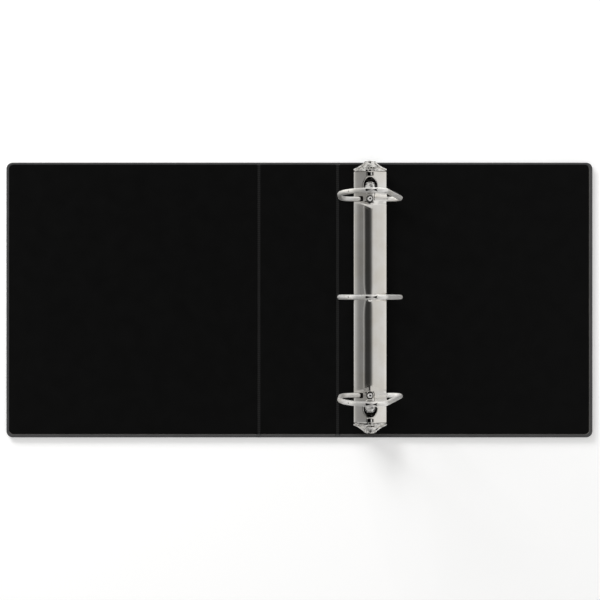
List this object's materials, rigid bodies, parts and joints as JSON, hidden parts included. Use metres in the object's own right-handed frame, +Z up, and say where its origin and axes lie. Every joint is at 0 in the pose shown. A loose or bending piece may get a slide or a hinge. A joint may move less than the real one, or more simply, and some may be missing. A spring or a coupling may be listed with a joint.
{
  "type": "ring binder",
  "caption": "Ring binder lying open and flat, with slant-D rings on a riveted metal, hinged covers and end triggers that open and close the rings.",
  "frame": {"origin": "middle of the outside faces of the open cover, on the table", "axes": "+X across the three open panels, from front cover to back cover; +Y along the spine; +Z up from the table"},
  "size_m": [0.65, 0.3048, 0.0836],
  "materials": {
    "outer_vinyl": "fine embossed grain, low sheen",
    "inner_vinyl": "smooth flat sheet, low sheen",
    "hinge_vinyl": "ribbed weld",
    "greyboard": "raw board",
    "housing_nickel": "bright nickel plate",
    "ring_wire": "bright nickel plate on round wire",
    "trigger_nickel": "bright nickel plate",
    "rivet_nickel": "bright nickel plate",
    "blade_steel": "rolled spring steel",
    "zinc_steel": "zinc plate"
  },
  "bodies": {
    "back_cover": {"back_outer_skin": "outer_vinyl", "back_board": "greyboard", "back_inner_liner": "inner_vinyl", "back_hinge_web": "hinge_vinyl", "housing_plate": "housing_nickel", "trigger_pin_top": "zinc_steel", "trigger_pin_bottom": "zinc_steel", "rivet_top": "rivet_nickel", "rivet_bottom": "rivet_nickel", "washer_top": "zinc_steel", "washer_bottom": "zinc_steel", "eyelet_top": "rivet_nickel", "eyelet_bottom": "rivet_nickel"},
    "spine": {"spine_outer_skin": "outer_vinyl", "spine_board": "greyboard", "spine_inner_liner": "inner_vinyl", "front_hinge_web": "hinge_vinyl"},
    "front_cover": {"front_outer_skin": "outer_vinyl", "front_board": "greyboard", "front_inner_liner": "inner_vinyl"},
    "left_half_rings": {"blade_left": "blade_steel", "ring_left_top": "ring_wire", "ring_left_middle": "ring_wire", "ring_left_bottom": "ring_wire"},
    "right_half_rings": {"blade_right": "blade_steel", "ring_right_top": "ring_wire", "ring_right_middle": "ring_wire", "ring_right_bottom": "ring_wire"},
    "top_trigger": {"trigger_top": "trigger_nickel"},
    "bottom_trigger": {"trigger_bottom": "trigger_nickel"}
  },
  "joints": [
    {"name": "spine_hinge", "type": "hinge", "parent": "back_cover", "child": "spine", "pos_m": [0.0394, 0, 0.003], "axis": [0, 1, 0], "range_deg": [0, 90]},
    {"name": "front_hinge", "type": "hinge", "parent": "spine", "child": "front_cover", "pos_m": [-0.0449, 0, 0.003], "axis": [0, 1, 0], "range_deg": [0, 90]},
    {"name": "ring_open", "type": "hinge", "parent": "back_cover", "child": "left_half_rings", "pos_m": [0.0618, 0.0032, 0.0062], "axis": [0, -1, 0], "range_deg": [0, 6]},
    {"name": "ring_open_right", "type": "hinge", "parent": "back_cover", "child": "right_half_rings", "pos_m": [0.095, 0.0032, 0.0062], "axis": [0, 1, 0], "range_deg": [0, 6]},
    {"name": "trigger_top_press", "type": "hinge", "parent": "back_cover", "child": "top_trigger", "pos_m": [0.0784, 0.1372, 0.006], "axis": [-1, 0, 0], "range_deg": [0, 24]},
    {"name": "trigger_bottom_press", "type": "hinge", "parent": "back_cover", "child": "bottom_trigger", "pos_m": [0.0784, -0.1308, 0.006], "axis": [1, 0, 0], "range_deg": [0, 24]}
  ],
  "couplings": [
    {"joint": "ring_open_right", "follows": "ring_open", "ratio": 1},
    {"joint": "trigger_top_press", "follows": "ring_open", "ratio": 4},
    {"joint": "trigger_bottom_press", "follows": "ring_open", "ratio": 4}
  ]
}
